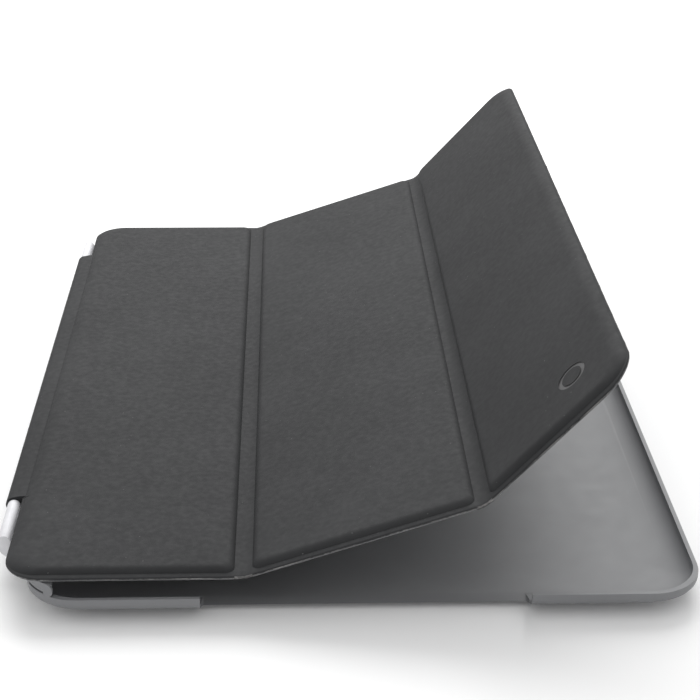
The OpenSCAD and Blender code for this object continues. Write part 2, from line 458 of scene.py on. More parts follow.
def arc(centre: Point2, radius: float, start_deg: float, end_deg: float,
        count: int) -> list[Point2]:
    """Points along an arc, both ends included.

    Args:
        centre: centre as (x, z).
        radius: radius of the arc.
        start_deg: first angle from +X towards +Z.
        end_deg: last angle.
        count: number of points.

    Returns:
        List of (x, z) points.
    """
    angles = [math.radians(start_deg + (end_deg - start_deg) * i / (count - 1))
              for i in range(count)]
    return [(centre[0] + radius * math.cos(a), centre[1] + radius * math.sin(a)) for a in angles]


def hand_over(piece: Object, node: str, slot: Slot, body: Body | None = None) -> None:
    """Let a finished piece stand for a CAD node and log it.

    Args:
        piece: finished piece.
        node: CAD node that it replaces.
        slot: not used.
        body: body that it rides on, or None for a piece that rides on no body.
    """
    if body is not None:
        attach(piece, body.value)
    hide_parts(node)
    LOG.info("%s stands for %s: %d faces", piece.name, node, len(piece.data.polygons))


# ---------------------------------------------------------------- finishes


@dataclass(frozen=True)
class Grain:
    """Noise pattern: features per metre, detail, roughness and stretch on each axis."""

    scale: float
    detail: float = 3.0
    rough: float = 0.5
    stretch: Point3 | None = None


@dataclass(frozen=True)
class Relief:
    """Strength and depth of a bump."""

    strength: float
    depth: float


@dataclass
class NodeSheet:
    """Short way to lay out the nodes of one material."""

    name: str
    material: Material = field(init=False)

    def __post_init__(self) -> None:
        """Start the material with a lone Principled shader."""
        self.material = bpy.data.materials.new(self.name)
        self.material.use_nodes = True
        self.tree = self.material.node_tree
        self.shader = self.tree.nodes["Principled BSDF"]
        self.place = self.tree.nodes.new("ShaderNodeTexCoord").outputs["Object"]

    def add(self, kind: str, **values: object) -> Node:
        """Add a node and set its sockets.

        Args:
            kind: node type, without its leading ShaderNode.
            values: socket values, with an underscore for each blank in a name.

        Returns:
            The new node.
        """
        node = self.tree.nodes.new("ShaderNode" + kind)
        for key, value in values.items():
            node.inputs[key.replace("_", " ")].default_value = value
        return node

    def set(self, **values: object) -> None:
        """Set shader sockets that are the same all over the surface."""
        for key, value in values.items():
            self.shader.inputs[key.replace("_", " ")].default_value = value

    def drive(self, **sources: NodeSocket) -> None:
        """Link sources to the shader's sockets."""
        for key, source in sources.items():
            self.tree.links.new(source, self.shader.inputs[key.replace("_", " ")])

    def noise(self, grain: Grain) -> NodeSocket:
        """Factor of a noise pattern.

        Args:
            grain: the pattern.

        Returns:
            Factor from 0 to 1.
        """
        node = self.add("TexNoise", Scale=grain.scale, Detail=grain.detail,
                        Roughness=grain.rough)
        source = self.place
        if grain.stretch is not None:
            mapping = self.add("Mapping", Scale=grain.stretch)
            self.tree.links.new(source, mapping.inputs["Vector"])
            source = mapping.outputs["Vector"]
        self.tree.links.new(source, node.inputs["Vector"])
        return node.outputs["Fac"]

    def cells(self, scale: float) -> NodeSocket:
        """Distance to the nearest cell's middle.

        Args:
            scale: cells per metre.

        Returns:
            The distance, as a part of a cell.
        """
        node = self.add("TexVoronoi", Scale=scale)
        self.tree.links.new(self.place, node.inputs["Vector"])
        return node.outputs["Distance"]

    def attribute(self, name: str) -> NodeSocket:
        """Value of a mesh attribute of the piece.

        Args:
            name: name of the attribute.

        Returns:
            The value.
        """
        node = self.add("Attribute")
        node.attribute_name = name
        return node.outputs["Fac"]

    def ramp(self, source: NodeSocket, span: Point2, result: Point2 = (0.0, 1.0)) -> NodeSocket:
        """Map a factor from one range to another, clamped.

        Args:
            source: factor to map.
            span: inputs that give the two ends of the result.
            result: output at each end.

        Returns:
            The mapped value.
        """
        node = self.add("MapRange", From_Min=span[0], From_Max=span[1], To_Min=result[0],
                        To_Max=result[1])
        self.tree.links.new(source, node.inputs["Value"])
        return node.outputs["Result"]

    def maths(self, how: Maths, a: NodeSocket, b: NodeSocket | float) -> NodeSocket:
        """Combine two values.

        Args:
            how: the operation.
            a: first value.
            b: second value, or a plain number.

        Returns:
            The result.
        """
        node = self.add("Math")
        node.operation = how.value
        self.tree.links.new(a, node.inputs[0])
        if isinstance(b, NodeSocket):
            self.tree.links.new(b, node.inputs[1])
        else:
            node.inputs[1].default_value = b
        return node.outputs[0]

    def mix(self, factor: NodeSocket, low: Point3 | NodeSocket, high: Point3) -> NodeSocket:
        """Blend between two colours.

        Args:
            factor: share of the second colour.
            low: first colour.
            high: second colour.

        Returns:
            The blended colour.
        """
        node = self.add("Mix")
        node.data_type = "RGBA"
        self.tree.links.new(factor, node.inputs["Factor"])
        for index, value in zip(MIX_COLOURS, (low, high)):
            if isinstance(value, NodeSocket):
                self.tree.links.new(value, node.inputs[index])
            else:
                node.inputs[index].default_value = (*value, 1.0)
        return node.outputs[MIX_RESULT]

    def shade(self, factor: NodeSocket, span: Point2, dark: Point3, light: Point3) -> NodeSocket:
        """Colour that goes from dark to light over a range of a factor."""
        return self.mix(self.ramp(factor, span), dark, light)

    def bump(self, height: NodeSocket, relief: Relief,
             below: NodeSocket | None = None) -> NodeSocket:
        """Bump from a height.

        Args:
            height: factor that is raised.
            relief: strength and depth.
            below: bump that this one lies on.

        Returns:
            The bumped normal.
        """
        node = self.add("Bump", Strength=relief.strength, Distance=relief.depth)
        self.tree.links.new(height, node.inputs["Height"])
        if below is not None:
            self.tree.links.new(below, node.inputs["Normal"])
        return node.outputs["Normal"]


@dataclass(frozen=True)
class SoftTouchSkin:
    """Matte coated leather-look skin with fine grain, rubbed patches and dust."""

    name: str = "soft_touch_skin"
    dark: Point3 = (0.0221, 0.0225, 0.0236)
    light: Point3 = (0.0286, 0.0291, 0.0304)
    dust: Point3 = (0.10, 0.10, 0.10)
    patches: Grain = Grain(38.0, 4.0, 0.55)
    patch_span: Point2 = (0.35, 0.68)
    speck_cells: float = 420.0
    speck_size: float = 0.05
    speck_places: Grain = Grain(420.0, 1.0)
    speck_share: float = 0.50
    gloss: Grain = Grain(700.0)
    gloss_span: Point2 = (0.3, 0.7)
    roughness: Point2 = (0.66, 0.76)
    grain: Grain = Grain(5200.0, 2.0)
    grain_relief: Relief = Relief(0.10, 0.04 * MM)
    pore_cells: float = 3600.0
    pore_relief: Relief = Relief(0.08, 0.04 * MM)
    waves: Grain = Grain(42.0, 1.0)
    wave_relief: Relief = Relief(0.07, 0.5 * MM)
    specular: float = 0.16

    def build(self) -> Material:
        """Lay out the nodes.

        Returns:
            The material.
        """
        sheet = NodeSheet(self.name)
        colour = sheet.shade(sheet.noise(self.patches), self.patch_span, self.dark, self.light)
        speck = sheet.maths(Maths.BELOW, sheet.cells(self.speck_cells), self.speck_size)
        chosen = sheet.maths(Maths.ABOVE, sheet.noise(self.speck_places), self.speck_share)
        grain = sheet.bump(sheet.noise(self.grain), self.grain_relief)
        pores = sheet.bump(sheet.cells(self.pore_cells), self.pore_relief, grain)
        sheet.drive(
            Base_Color=sheet.mix(sheet.maths(Maths.TIMES, speck, chosen), colour, self.dust),
            Roughness=sheet.ramp(sheet.noise(self.gloss), self.gloss_span, self.roughness),
            Normal=sheet.bump(sheet.noise(self.waves), self.wave_relief, pores))
        sheet.set(Specular_IOR_Level=self.specular)
        return sheet.material


@dataclass(frozen=True)
class PressedMark:
    """Skin pressed smooth by a heated stamp."""

    name: str = "pressed_skin"
    dark: Point3 = (0.040, 0.040, 0.041)
    light: Point3 = (0.052, 0.052, 0.053)
    cloud: Grain = Grain(300.0)
    cloud_span: Point2 = (0.35, 0.65)
    grain: Grain = Grain(5200.0, 2.0)
    relief: Relief = Relief(0.06, 0.03 * MM)
    roughness: float = 0.42
    specular: float = 0.4

    def build(self) -> Material:
        """Lay out the nodes.

        Returns:
            The material.
        """
        sheet = NodeSheet(self.name)
        sheet.drive(
            Base_Color=sheet.shade(sheet.noise(self.cloud), self.cloud_span, self.dark,
                                   self.light),
            Normal=sheet.bump(sheet.noise(self.grain), self.relief))
        sheet.set(Roughness=self.roughness, Specular_IOR_Level=self.specular)
        return sheet.material


@dataclass(frozen=True)
class Microfibre:
    """Brushed microfibre nap of the lining."""

    name: str = "microfibre_lining"
    dark: Point3 = (0.085, 0.087, 0.090)
    light: Point3 = (0.135, 0.138, 0.142)
    nap: Grain = Grain(2600.0, 5.0, 0.7, (1.0, 0.35, 1.0))
    nap_share: float = 0.55
    brushed: Grain = Grain(60.0, 3.0, 0.6)
    brushed_share: float = 0.45
    span: Point2 = (0.38, 0.62)
    relief: Relief = Relief(0.5, 0.12 * MM)
    roughness: float = 0.92
    sheen: float = 0.45
    sheen_roughness: float = 0.55
    specular: float = 0.2

    def build(self) -> Material:
        """Lay out the nodes.

        Returns:
            The material.
        """
        sheet = NodeSheet(self.name)
        nap = sheet.noise(self.nap)
        mottled = sheet.maths(
            Maths.ADD, sheet.maths(Maths.TIMES, nap, self.nap_share),
            sheet.maths(Maths.TIMES, sheet.noise(self.brushed), self.brushed_share))
        sheet.drive(Base_Color=sheet.shade(mottled, self.span, self.dark, self.light),
                    Normal=sheet.bump(nap, self.relief))
        sheet.set(Roughness=self.roughness, Sheen_Weight=self.sheen,
                  Sheen_Roughness=self.sheen_roughness, Specular_IOR_Level=self.specular)
        return sheet.material


@dataclass(frozen=True)
class RawEdge:
    """Cut edge of the laminate, with pale frayed fibres."""

    name: str = "raw_cut_edge"
    dark: Point3 = (0.035, 0.035, 0.037)
    light: Point3 = (0.22, 0.216, 0.212)
    fibres: Grain = Grain(1500.0, 4.0, 0.75)
    stretches: Grain = Grain(130.0, 2.0)
    rubbed_name: str = "rubbed"
    rub_gain: float = 0.16
    span: Point2 = (0.18, 0.36)
    relief: Relief = Relief(0.7, 0.08 * MM)
    roughness: float = 0.9
    specular: float = 0.2

    def build(self) -> Material:
        """Lay out the nodes.

        Returns:
            The material.
        """
        sheet = NodeSheet(self.name)
        fibres = sheet.noise(self.fibres)
        worn = sheet.maths(
            Maths.ADD, sheet.maths(Maths.TIMES, fibres, sheet.noise(self.stretches)),
            sheet.maths(Maths.TIMES, sheet.attribute(self.rubbed_name), self.rub_gain))
        sheet.drive(Base_Color=sheet.shade(worn, self.span, self.dark, self.light),
                    Normal=sheet.bump(fibres, self.relief))
        sheet.set(Roughness=self.roughness, Specular_IOR_Level=self.specular)
        return sheet.material


@dataclass(frozen=True)
class SatinMetal:
    """Fine satin metal with faint draw lines along Y."""

    name: str
    colour: Point3
    shade: Point3
    metallic: float = 1.0
    roughness: float = 0.34
    lines: Grain = Grain(5000.0, 3.0, 0.6, (1.0, 0.02, 1.0))
    line_span: Point2 = (0.3, 0.7)
    smoother: float = 0.05
    rougher: float = 0.08
    marks: Grain = Grain(240.0, 3.0, 0.6)
    mark_span: Point2 = (0.35, 0.65)
    relief: Relief = Relief(0.10, 0.02 * MM)

    def build(self) -> Material:
        """Lay out the nodes.

        Returns:
            The material.
        """
        sheet = NodeSheet(self.name)
        lines = sheet.noise(self.lines)
        gloss = (self.roughness - self.smoother, self.roughness + self.rougher)
        sheet.drive(
            Base_Color=sheet.shade(sheet.noise(self.marks), self.mark_span, self.shade,
                                   self.colour),
            Roughness=sheet.ramp(lines, self.line_span, gloss),
            Normal=sheet.bump(lines, self.relief))
        sheet.set(Metallic=self.metallic)
        return sheet.material


@dataclass(frozen=True)
class FrostedShell:
    """Smoke-grey translucent polycarbonate with a frosted face and hairline scuffs."""

    name: str = "frosted_polycarbonate"
    clear: Point3 = (0.237, 0.240, 0.250)
    cloudy: Point3 = (0.250, 0.253, 0.263)
    cloud: Grain = Grain(70.0, 4.0, 0.6)
    cloud_span: Point2 = (0.35, 0.65)
    scuffs: Grain = Grain(260.0, 4.0, 0.6)
    scuff_span: Point2 = (0.35, 0.7)
    roughness: Point2 = (0.485, 0.525)
    frost: Grain = Grain(4200.0, 2.0)
    relief: Relief = Relief(0.08, 0.02 * MM)
    see_through: float = 0.35
    ior: float = 1.5

    def build(self) -> Material:
        """Lay out the nodes.

        Returns:
            The material.
        """
        sheet = NodeSheet(self.name)
        sheet.drive(
            Base_Color=sheet.shade(sheet.noise(self.cloud), self.cloud_span, self.clear,
                                   self.cloudy),
            Roughness=sheet.ramp(sheet.noise(self.scuffs), self.scuff_span, self.roughness),
            Normal=sheet.bump(sheet.noise(self.frost), self.relief))
        sheet.set(Transmission_Weight=self.see_through, IOR=self.ior)
        return sheet.material


@dataclass(frozen=True)
class MouldedPlastic:
    """Plain moulded plastic or rubber with a spark-eroded texture."""

    name: str
    colour: Point3
    roughness: float = 0.6
    pits: Grain = Grain(2600.0, 4.0, 0.6)
    pit_span: Point2 = (0.3, 0.7)
    pit_shade: float = 0.8
    relief: Relief = Relief(0.25, 0.05 * MM)

    def build(self) -> Material:
        """Lay out the nodes.

        Returns:
            The material.
        """
        sheet = NodeSheet(self.name)
        pits = sheet.noise(self.pits)
        deep = tuple(self.pit_shade * c for c in self.colour)
        sheet.drive(Base_Color=sheet.shade(pits, self.pit_span, deep, self.colour),
                    Normal=sheet.bump(pits, self.relief))
        sheet.set(Roughness=self.roughness)
        return sheet.material


def made(build: Callable[[], Material]) -> Material:
    """Field that holds a finish's material, built once."""
    return field(default_factory=build)


@dataclass
class Finishes:
    """All the case's materials, each built once."""

    skin: Material = made(SoftTouchSkin().build)
    press: Material = made(PressedMark().build)
    lining: Material = made(Microfibre().build)
    edge: Material = made(RawEdge().build)
    bar: Material = made(SatinMetal("satin_aluminium", (0.66, 0.66, 0.68), (0.60, 0.60, 0.62),
                                    metallic=0.2, roughness=0.62).build)
    steel: Material = made(SatinMetal("pin_steel", (0.62, 0.63, 0.64), (0.52, 0.53, 0.54)).build)
    magnet: Material = made(SatinMetal("nickel_plate", (0.66, 0.65, 0.62), (0.58, 0.57, 0.55),
                                       roughness=0.25).build)
    shell: Material = made(FrostedShell().build)
    pad: Material = made(MouldedPlastic("rubber_pad", (0.03, 0.03, 0.032), 0.8).build)
    barrel: Material = made(MouldedPlastic("barrel_nylon", (0.05, 0.05, 0.053), 0.5).build)
    board: Material = made(MouldedPlastic("glass_fibre_board", (0.36, 0.33, 0.27), 0.7,
                                          Grain(1200.0, 4.0, 0.6)).build)


def dress(obj: Object, *materials: Material) -> Object:
    """Give a new piece its materials.

    Args:
        obj: piece to dress.
        materials: finishes, the first one for all faces not set yet.

    Returns:
        The same piece.
    """
    obj.data.materials.clear()
    for material in materials:
        obj.data.materials.append(material)
    return obj


def dress_node(frame: dict, node: str, material: Material) -> None:
    """Put a finish on the material slots of a CAD node.

    Args:
        node: name of the CAD node.
        material: finish for all its slots.
    """
    obj = frame["nodes"][node]
    if not obj.material_slots:
        obj.data.materials.append(material)
    for slot in obj.material_slots:
        slot.material = material
    LOG.info("kept node %s: %s", node, material.name)


# ---------------------------------------------------------------- sizes


@dataclass
class CaseSizes:
    """Places and sizes of the case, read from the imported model."""

    swing: Vector
    fold_1: Vector
    fold_2: Vector
    tilt_1: float
    tilt_2: float
    half_l: float
    left: float
    web_half: float
    lining_t: float
    half_t: float
    rise: float
    span_3: float

    @classmethod
    def read(cls, frame: dict) -> CaseSizes:
        """Work the sizes out from joints and node boxes.


        Returns:
            Filled sizes, in metres and radians.
        """
        joints = {j["name"]: j for j in frame["joints"]}
        swing, fold, fold_2 = (Vector(joints[n]["pos_m"])
                               for n in ("cover_swing", "fold_1", "fold_2"))
        tilt_1, tilt_2 = (-math.radians(joints[n]["range_deg"][0]) for n in ("fold_1", "fold_2"))
        low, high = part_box("lining_panel_1")
        skin_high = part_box("skin_panel_1")[1]
        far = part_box("lining_panel_3")[1]
        half_t = fold.z - low.z
        total = tilt_1 + tilt_2
        top_3 = far.z - fold_2.z - (high.z - low.z - half_t) * math.cos(total)
        return cls(swing=swing, fold_1=fold, fold_2=fold_2, tilt_1=tilt_1, tilt_2=tilt_2,
                   half_l=high.y, left=low.x, web_half=fold.x - high.x,
                   lining_t=high.z - low.z, half_t=half_t, rise=skin_high.z - fold.z - half_t,
                   span_3=top_3 / math.sin(total))

    @property
    def span_2(self) -> float:
        """Distance between the two folds."""
        return (self.fold_2 - self.fold_1).length

    @property
    def hinge_edge(self) -> float:
        """Place of the first panel's hinge edge, in the panels' own frame."""
        return self.left - self.fold_1.x

    def frame_of(self, panel: int) -> Matrix:
        """Matrix from a panel's own flat frame to the model's frame.

        Args:
            panel: number of the panel.

        Returns:
            The rigid move.
        """
        at_fold_1 = Matrix.Translation(self.fold_1)
        if panel == 1:
            return at_fold_1
        turn_1 = Matrix.Rotation(-self.tilt_1, 4, "Y")
        if panel == 2:
            return at_fold_1 @ turn_1
        onward = Matrix.Translation((self.span_2, 0.0, 0.0))
        return at_fold_1 @ turn_1 @ onward @ Matrix.Rotation(-self.tilt_2, 4, "Y")


@dataclass
class CasePart:
    """Sub-assembly that knows the case's sizes and finishes."""

    sizes: CaseSizes
    finishes: Finishes


# ---------------------------------------------------------------- cover


@dataclass
class CoverPanel(CasePart):
    """One stiff panel of the cover: padded outer skin, raw edge and lining."""

    number: int
    body: Body
    x0: float
    x1: float
    fold_left: bool
    fold_right: bool
    margin_left: float = 0.0
    margin_right: float = 0.0
    board_left: float = 0.0
    board_right: float = 0.0
    slope_left: float = 0.0
    slope_right: float = 0.0
    rubbed: bool = False
    corner: float = 8.0 * MM
    corner_facets: int = 14
    margin: float = 1.2 * MM
    board_margin: float = 2.0 * MM
    edge_slope: float = 1.9 * MM
    fold_slope: float = 1.65 * MM
    pillow_r: float = 6.4 * MM
    pillow_inset: float = 0.6 * MM
    fold_corner: float = 1.7 * MM
    sink: float = 0.10 * MM
    root: float = 0.33 * MM
    softness: float = 0.24 * MM
    roll_w: float = 1.7 * MM
    roll: tuple[Point2, ...] = ((0.06, 0.30), (0.10, 0.20), (0.24, 0.25), (0.60, 0.25))
    profile: tuple[Point2, ...] = ((0.04, 0.12), (0.12, 0.31), (0.23, 0.50), (0.37, 0.68),
                                   (0.53, 0.83), (0.70, 0.93), (0.86, 0.98), (1.0, 1.0))
    flat_inset: float = 0.1 * MM
    board_r: float = 5.0 * MM
    board_inset: float = 1.36 * MM
    board_t: float = 1.02 * MM
    lining_in: float = 0.12 * MM
    lining_soft: float = 0.05 * MM
    lining_bevel: float = 0.08 * MM
    edge_t: float = 0.14 * MM
    edge_out: float = 0.02 * MM
    edge_near: float = 0.1 * MM
    edge_band: float = 0.5 * MM
    fray: float = 0.13 * MM
    fray_dip: float = -0.2
    fray_grain: float = 1.1 * MM
    fray_octave: Point2 = (0.6, 2.7)
    fray_cuts: int = 300
    fray_side_share: int = 4
    rub_back: float = 10.0 * MM
    rub_reach: float = 4.5 * MM
    rub_depth: float = 0.45 * MM
    rub_base: float = 0.3
    skin_angle: float = 40.0
    lining_angle: float = 50.0

    def radius_at(self, point: Vector) -> float:
        """Corner radius of the flange: round at outer corners, square at folds."""
        on_left = point.x < (self.x0 + self.x1) / 2
        return 0.0 if (self.fold_left if on_left else self.fold_right) else self.corner

    def pillow_radius_at(self, point: Vector) -> float:
        """Corner radius of the pillow: wide at outer corners, tight at folds."""
        return self.pillow_r if self.radius_at(point) else self.fold_corner

    def slab(self, name: str, low: float, high: float, pull: float, soft_top: float,
             roll_w: float) -> Object:
        """Flat plate between two heights, with its top rolled off at the edges.

        Args:
            name: name of the plate.
            low: height of the underside.
            high: height of the top.
            pull: distance its outer edges stand in from the panel's outline.
            soft_top: drop of the rolled-off edge.
            roll_w: width of the rolled-off edge.

        Returns:
            New closed mesh object.
        """
        on_left = 0.0 if self.fold_left else 1.0
        on_right = 0.0 if self.fold_right else 1.0
        half_l = self.sizes.half_l
        base = Rect(self.x0 + on_left * pull, self.x1 - on_right * pull, -half_l + pull,
                    half_l - pull, low)
        levels = [base, base.pulled(0.0, 0.0, 0.0, high - low - soft_top)]
        for part, gain in self.roll:
            inward = part * roll_w
            levels.append(levels[-1].pulled(on_left * inward, on_right * inward, inward,
                                            gain * soft_top))
        levels.append(levels[-1].inset(self.flat_inset))
        return stack(rounded_plane(name, base, self.radius_at, self.corner_facets), levels)

    def pillow(self) -> Object:
        """Raised form over the board, steep at its foot and gentle at its top.

        Returns:
            New closed mesh object.
        """
        half_l = self.sizes.half_l
        foot = Rect(self.x0 + self.margin_left, self.x1 - self.margin_right,
                    -half_l + self.margin, half_l - self.margin, self.sizes.half_t - self.sink)
        obj = rounded_plane(f"pillow_{self.number}", foot, self.pillow_radius_at,
                            self.corner_facets)
        left = self.slope_left or (self.fold_slope if self.fold_left else self.edge_slope)
        right = self.slope_right or (self.fold_slope if self.fold_right else self.edge_slope)
        root = foot.pulled(0.0, 0.0, 0.0, self.sink - self.root)
        for vertex in obj.data.vertices:
            vertex.co.z = root.z
        levels = [root, foot]
        for along, up in self.profile:
            levels.append(foot.pulled(along * left, along * right, along * self.edge_slope,
                                      up * (self.sizes.rise + self.sink)))
        levels.append(levels[-1].inset(self.pillow_inset))
        return stack(obj, levels)

    def hollow(self) -> Object:
        """Body of the hollow that the board fills.

        Returns:
            New closed mesh object.
        """
        sizes, inset, margin = self.sizes, self.board_inset, self.board_margin
        flat = Rect(self.x0 + self.board_left + inset, self.x1 - self.board_right - inset,
                    -sizes.half_l + margin + inset, sizes.half_l - margin - inset,
                    -sizes.half_t + sizes.lining_t - self.sink)
        obj = rounded_plane("hollow", flat, lambda _p: self.board_r, self.corner_facets)
        return thicken(obj, self.board_t + self.sink)

    def raw_edge(self) -> Object:
        """Thin layer that shows between skin and lining at the cut edges.

        Returns:
            New closed mesh object, with its outer edges frayed.
        """
        low = -self.sizes.half_t + self.sizes.lining_t - self.edge_t / 2
        obj = self.slab(f"raw_edge_{self.number}", low, low + self.edge_t, -self.edge_out,
                        self.edge_out, self.edge_out)
        near, half_l = self.edge_near, self.sizes.half_l
        with editing(obj, Element.EDGE):
            pick(obj, Element.EDGE, lambda c, n: abs(n.y) > ALONG and abs(c.y) < near
                 and min(abs(c.x - self.x0), abs(c.x - self.x1)) < near)
            bpy.ops.mesh.subdivide(number_cuts=self.fray_cuts)
            pick(obj, Element.EDGE, lambda c, n: abs(n.x) > ALONG and abs(c.y) > half_l - near)
            bpy.ops.mesh.subdivide(number_cuts=self.fray_cuts // self.fray_side_share)
        marks = obj.data.attributes.new(RawEdge.rubbed_name, "FLOAT", "POINT")
        for vertex in obj.data.vertices:
            at_fold = ((self.fold_left and vertex.co.x < self.x0 + near)
                       or (self.fold_right and vertex.co.x > self.x1 - near))
            if not at_fold:
                marks.data[vertex.index].value = self.fray_vertex(vertex.co)
        return obj

    def fray_vertex(self, co: Vector) -> float:
        """Move one point of the raw edge by the fraying at its place.

        Args:
            co: the point, which is changed.

        Returns:
            How much it is rubbed, from 0 to 1.
        """
        half_l, rub = self.sizes.half_l, 0.0
        gain, finer = self.fray_octave
        spot = co * (1.0 / self.fray_grain)
        strength = noise.noise(spot) + gain * noise.noise(spot * finer)
        if self.rubbed and co.y < self.edge_near - half_l:
            off = abs(co.x - self.x1 + self.rub_back)
            rub = max(0.0, 1.0 - off / self.rub_reach)
            co.y -= rub * max(self.rub_base + strength, 0.0) * self.rub_depth
        out = max(strength, self.fray_dip) * self.fray
        if abs(co.y) > half_l - self.edge_band:
            co.y += math.copysign(out, co.y)
        elif co.x < self.x0 + self.edge_band or co.x > self.x1 - self.edge_band:
            co.x += math.copysign(out, co.x - (self.x0 + self.x1) / 2)
        return rub

    def build_skin(self, extra_cuts: Sequence[Object], cut_finish: Material | None) -> Object:
        """Outer skin in the panel's own frame, dressed.

        Args:
            extra_cuts: closed bodies, in the panel's frame, that cut the skin.
            cut_finish: finish of the cut faces, where it isn't the skin's own.

        Returns:
            New piece, not yet placed.
        """
        low = -self.sizes.half_t + self.sizes.lining_t
        flange = self.slab(f"flange_{self.number}", low, self.sizes.half_t, 0.0, self.softness,
                           self.roll_w)
        cut(flange, self.pillow(), Boolean.ADD)
        cut(flange, self.hollow())
        dress(flange, self.finishes.skin)
        for tool in extra_cuts:
            dress(tool, cut_finish or self.finishes.skin)
            cut(flange, tool)
        edge = dress(self.raw_edge(), self.finishes.edge)
        for obj in (flange, edge):
            finish_mesh(obj, self.skin_angle)
        return join(f"outer_skin_{self.number}", (flange, edge))

    def build_lining(self) -> Object:
        """Microfibre sheet in the panel's own frame, dressed.

        Returns:
            New piece, not yet placed.
        """
        low = -self.sizes.half_t
        sheet = self.slab(f"microfibre_{self.number}", low, low + self.sizes.lining_t,
                          self.lining_in, self.lining_soft, self.lining_soft)
        with editing(sheet, Element.EDGE):
            pick(sheet, Element.EDGE, lambda c, _n: c.z < low + HAIR)
            bpy.ops.mesh.bevel(offset=self.lining_bevel, segments=2)
        return finish_mesh(dress(sheet, self.finishes.lining), self.lining_angle)

    def make(self, extra_cuts: Sequence[Object] = (), cut_finish: Material | None = None) -> None:
        """Build, cut, place and hand over the skin and the lining.

        Args:
            extra_cuts: closed bodies, in the panel's frame, that cut the skin.
            cut_finish: finish of the cut faces, where it isn't the skin's own.
        """
        skin = self.build_skin(extra_cuts, cut_finish)
        lining = self.build_lining()
        for obj, stem, slot in ((skin, "skin", Slot.SKIN), (lining, "lining", Slot.LINING)):
            place(obj, self.sizes.frame_of(self.number))
            hand_over(obj, f"{stem}_panel_{self.number}", slot, self.body)


@dataclass
class FoldStrip(CasePart):
    """Flexible strip of skin and lining between two panels."""

    number: int
    angle: float
    steps: int = 14
    rings: int = 30
    sink: float = 0.10 * MM
    inside: float = 0.1 * MM
    lining_back: float = 0.22 * MM
    lining_from: float = 0.1
    smooth_deg: float = 45.0

    @property
    def bend(self) -> float:
        """Radius of the strip's middle layer."""
        return self.sizes.web_half / math.tan(self.angle / 2)

    def reach(self, point: Vector) -> Vector:
        """Way from the middle of the bend to a point, across the strip."""
        middle = Vector((-self.sizes.web_half, 0.0, self.bend))
        return Vector((point.x - middle.x, 0.0, point.z - middle.z))

    def section(self) -> list[Point2]:
        """Closed section in the frame of the panel on the left.

        Returns:
            Points as (x, z), first along the skin side, then back along the lining.
        """
        points = []
        for on_top in (True, False):
            order = range(self.steps + 1) if on_top else range(self.steps, -1, -1)
            for i in order:
                turn = self.angle * i / self.steps
                off = self.sizes.half_t if on_top else -self.sizes.half_t
                if on_top:
                    off -= self.sink * math.sin(math.pi * i / self.steps)
                points.append((
                    -self.sizes.web_half + self.bend * math.sin(turn) - off * math.sin(turn),
                    self.bend * (1 - math.cos(turn)) + off * math.cos(turn)))
        return points

    def roll_ends(self, strip: Object) -> None:
        """Roll the skin side off towards the cut ends, as the panels' flanges do.

        Args:
            strip: strip in the frame of the panel on its left.
        """
        inward, left_over = 0.0, CoverPanel.softness
        steps = [(inward, left_over)]
        for part, gain in CoverPanel.roll:
            inward += part * CoverPanel.roll_w
            left_over -= gain * CoverPanel.softness
            steps.append((inward, max(left_over, 0.0)))
        with editing(strip):
            for depth, _drop in steps[1:]:
                for side in SIDES:
                    bpy.ops.mesh.select_all(action="SELECT")
                    bpy.ops.mesh.bisect(plane_co=(0.0, side * (self.sizes.half_l - depth), 0.0),
                                        plane_no=(0.0, 1.0, 0.0))
        for vertex in strip.data.vertices:
            away = self.reach(vertex.co)
            depth = self.sizes.half_l - abs(vertex.co.y)
            if away.length > self.bend and depth < self.inside / 2:
                vertex.co.y -= math.copysign(self.lining_back, vertex.co.y)
            if away.length > self.bend or depth > steps[-1][0]:
                continue
            drop = min(steps, key=lambda step: abs(step[0] - depth))[1]
            vertex.co += away.normalized() * drop

    def make(self, left: Body, right: Body) -> None:
        """Build the strip and place it between its two panels.

        Args:
            left: not used.
            right: not used.
        """
        sizes, finishes = self.sizes, self.finishes
        strip = prism(f"fold_strip_{self.number}", self.section(), -sizes.half_l, sizes.half_l,
                      self.rings)
        self.roll_ends(strip)
        dress(strip, finishes.skin, finishes.lining, finishes.edge)
        finish_mesh(strip, self.smooth_deg)
        for face in strip.data.polygons:
            centre = face.center
            at_end = abs(centre.y) > sizes.half_l - self.lining_back
            if abs(face.normal.y) > 0.5 and at_end:
                face.material_index = 2
            elif self.reach(centre).length > self.bend + self.lining_from * sizes.half_t:
                face.material_index = 1
        matrix = sizes.frame_of(self.number)
        if self.number == 2:
            matrix = matrix @ Matrix.Translation((sizes.span_2, 0.0, 0.0))
        place(strip, matrix)
        hand_over(strip, f"fold_web_{self.number}", Slot.SKIN)
        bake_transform(strip)


